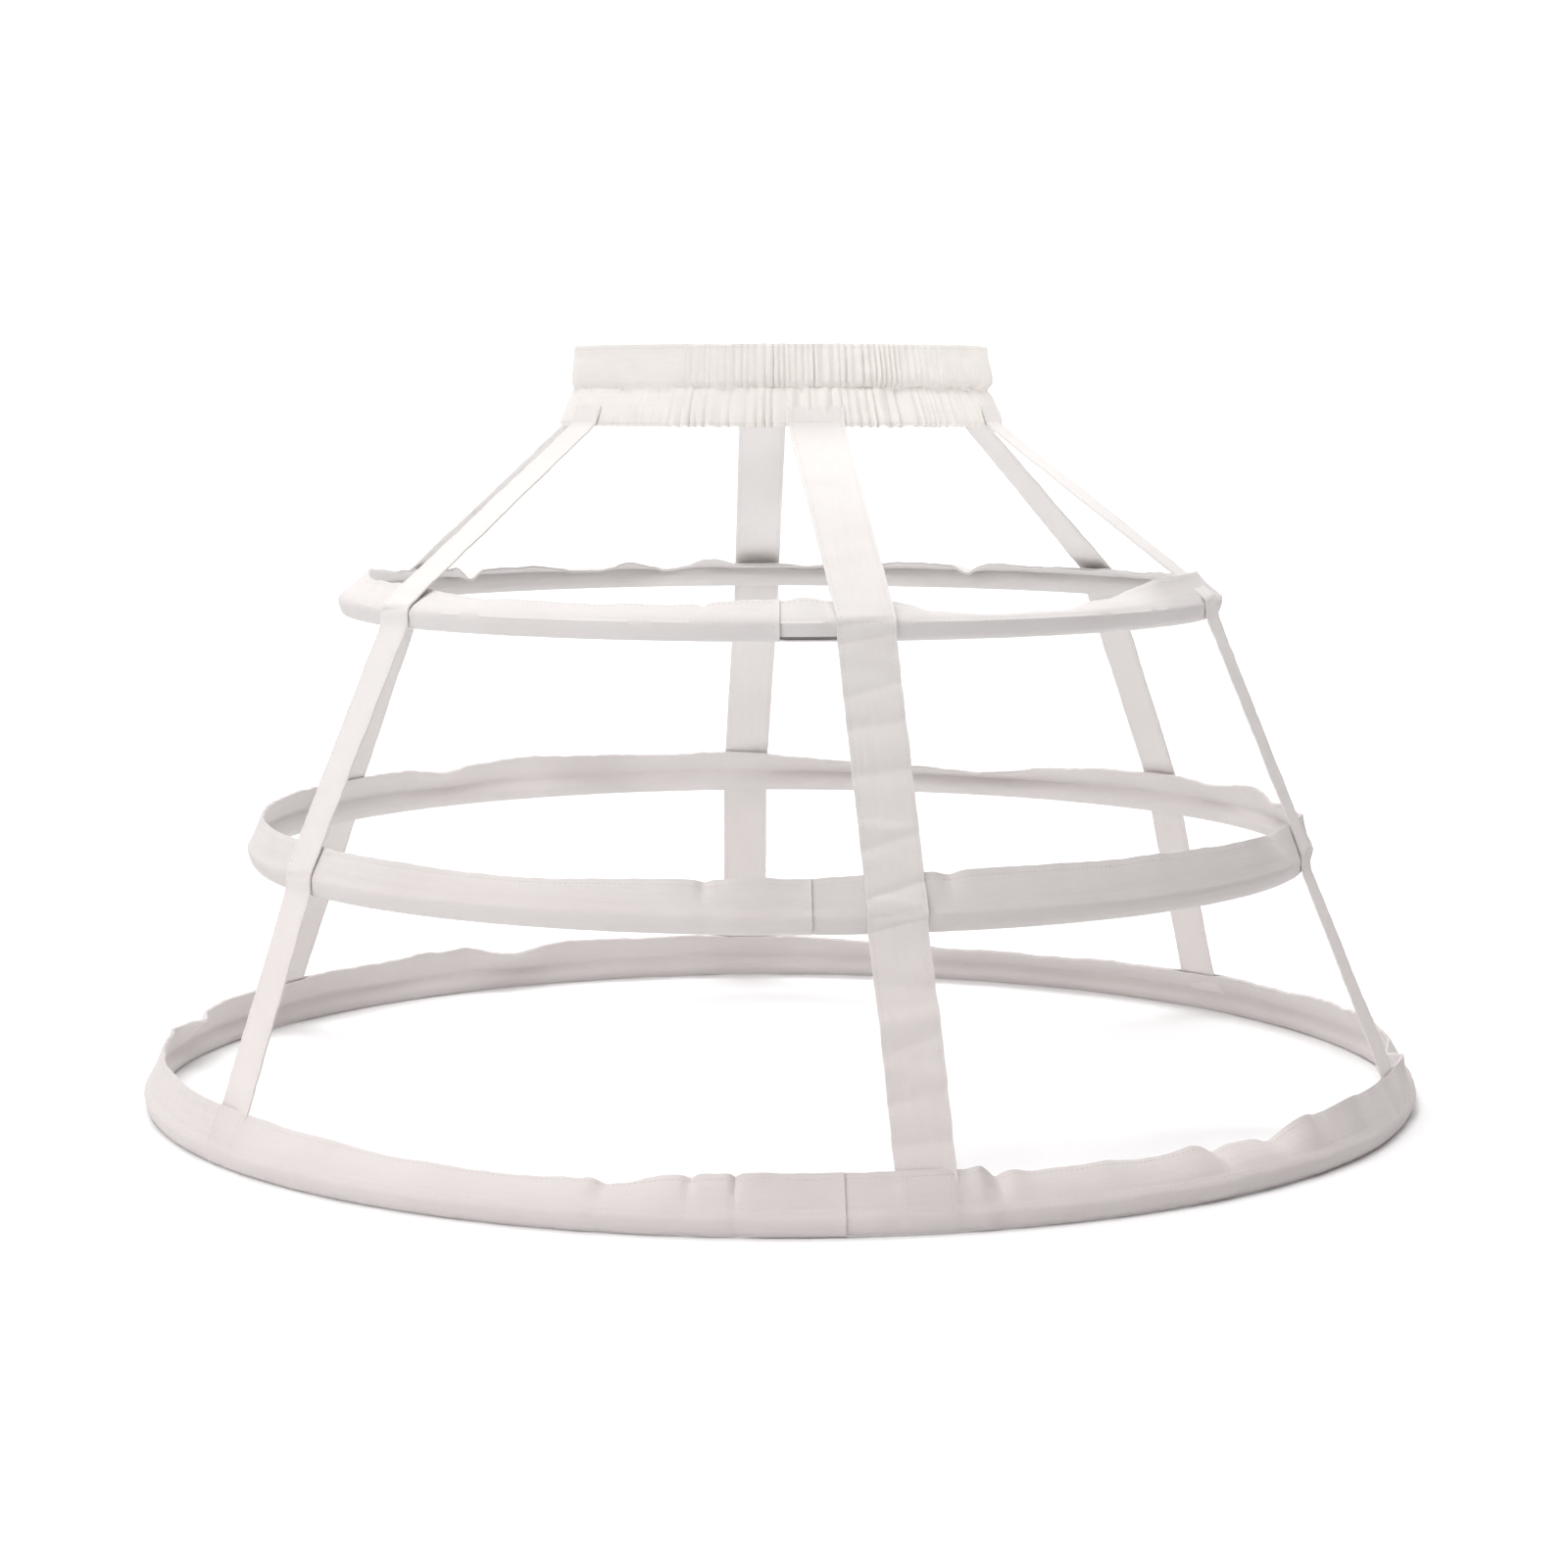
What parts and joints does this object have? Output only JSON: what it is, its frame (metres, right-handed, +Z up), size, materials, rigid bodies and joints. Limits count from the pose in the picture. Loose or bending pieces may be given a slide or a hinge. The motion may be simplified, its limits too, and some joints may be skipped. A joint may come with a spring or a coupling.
{
  "type": "crinoline cage",
  "caption": "Short open crinoline cage: round steel hoops in cotton casings, hung on cloth straps from a gathered elastic waistband.",
  "frame": {"origin": "middle of the hem hoop's ring, at the height of its lowest edge", "axes": "+Z up along the waist's axis, -Y the front of the wearer, +X the wearer's left"},
  "size_m": [0.772, 0.7725, 0.453],
  "materials": {
    "white_cotton": "matt plain weave, creased",
    "elastic": "ribbed woven elastic",
    "spring_steel": "flat spring steel, satin",
    "joiner_metal": "pressed sheet sleeve"
  },
  "bodies": {
    "root": {"waistband": "white_cotton", "waist_elastic_upper": "elastic", "waist_elastic_lower": "elastic", "casing_hem": "white_cotton", "steel_hem": "spring_steel", "joiner_hem": "joiner_metal", "casing_middle": "white_cotton", "steel_middle": "spring_steel", "joiner_middle": "joiner_metal", "casing_top": "white_cotton", "steel_top": "spring_steel", "joiner_top": "joiner_metal", "strap_front": "white_cotton", "strap_right_front": "white_cotton", "strap_right_back": "white_cotton", "strap_back": "white_cotton", "strap_left_back": "white_cotton", "strap_left_front": "white_cotton"}
  },
  "joints": []
}
